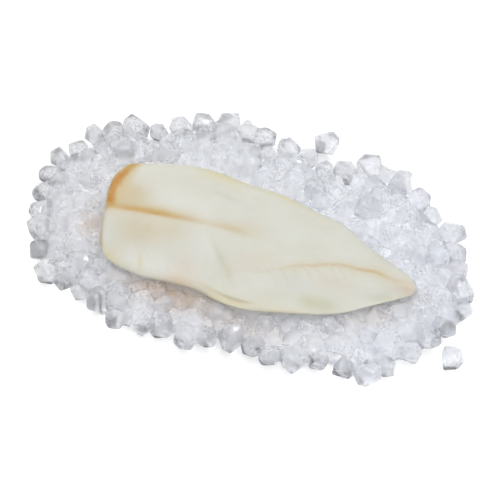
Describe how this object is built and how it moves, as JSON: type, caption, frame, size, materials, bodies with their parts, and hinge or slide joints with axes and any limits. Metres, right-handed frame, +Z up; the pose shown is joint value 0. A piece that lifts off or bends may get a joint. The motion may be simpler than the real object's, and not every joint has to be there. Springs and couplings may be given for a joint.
{
  "type": "fish fillet on ice",
  "caption": "Skinless white fish fillet, thick at its head end and pointed at its tail, lying on a loose oval bed of clear ice nuggets.",
  "frame": {"origin": "on the floor under the middle of everything shown", "axes": "+X along the fillet from its head end to its tail, +Y towards the back of the fish, +Z up"},
  "size_m": [0.3194, 0.203, 0.0369],
  "materials": {
    "flesh": "moist, slightly translucent fish flesh",
    "ice": "wet, partly clear ice"
  },
  "bodies": {
    "root": {"fillet": "flesh", "ice_bed": "ice", "stray_nugget_back": "ice", "stray_nugget_front": "ice"}
  },
  "joints": []
}
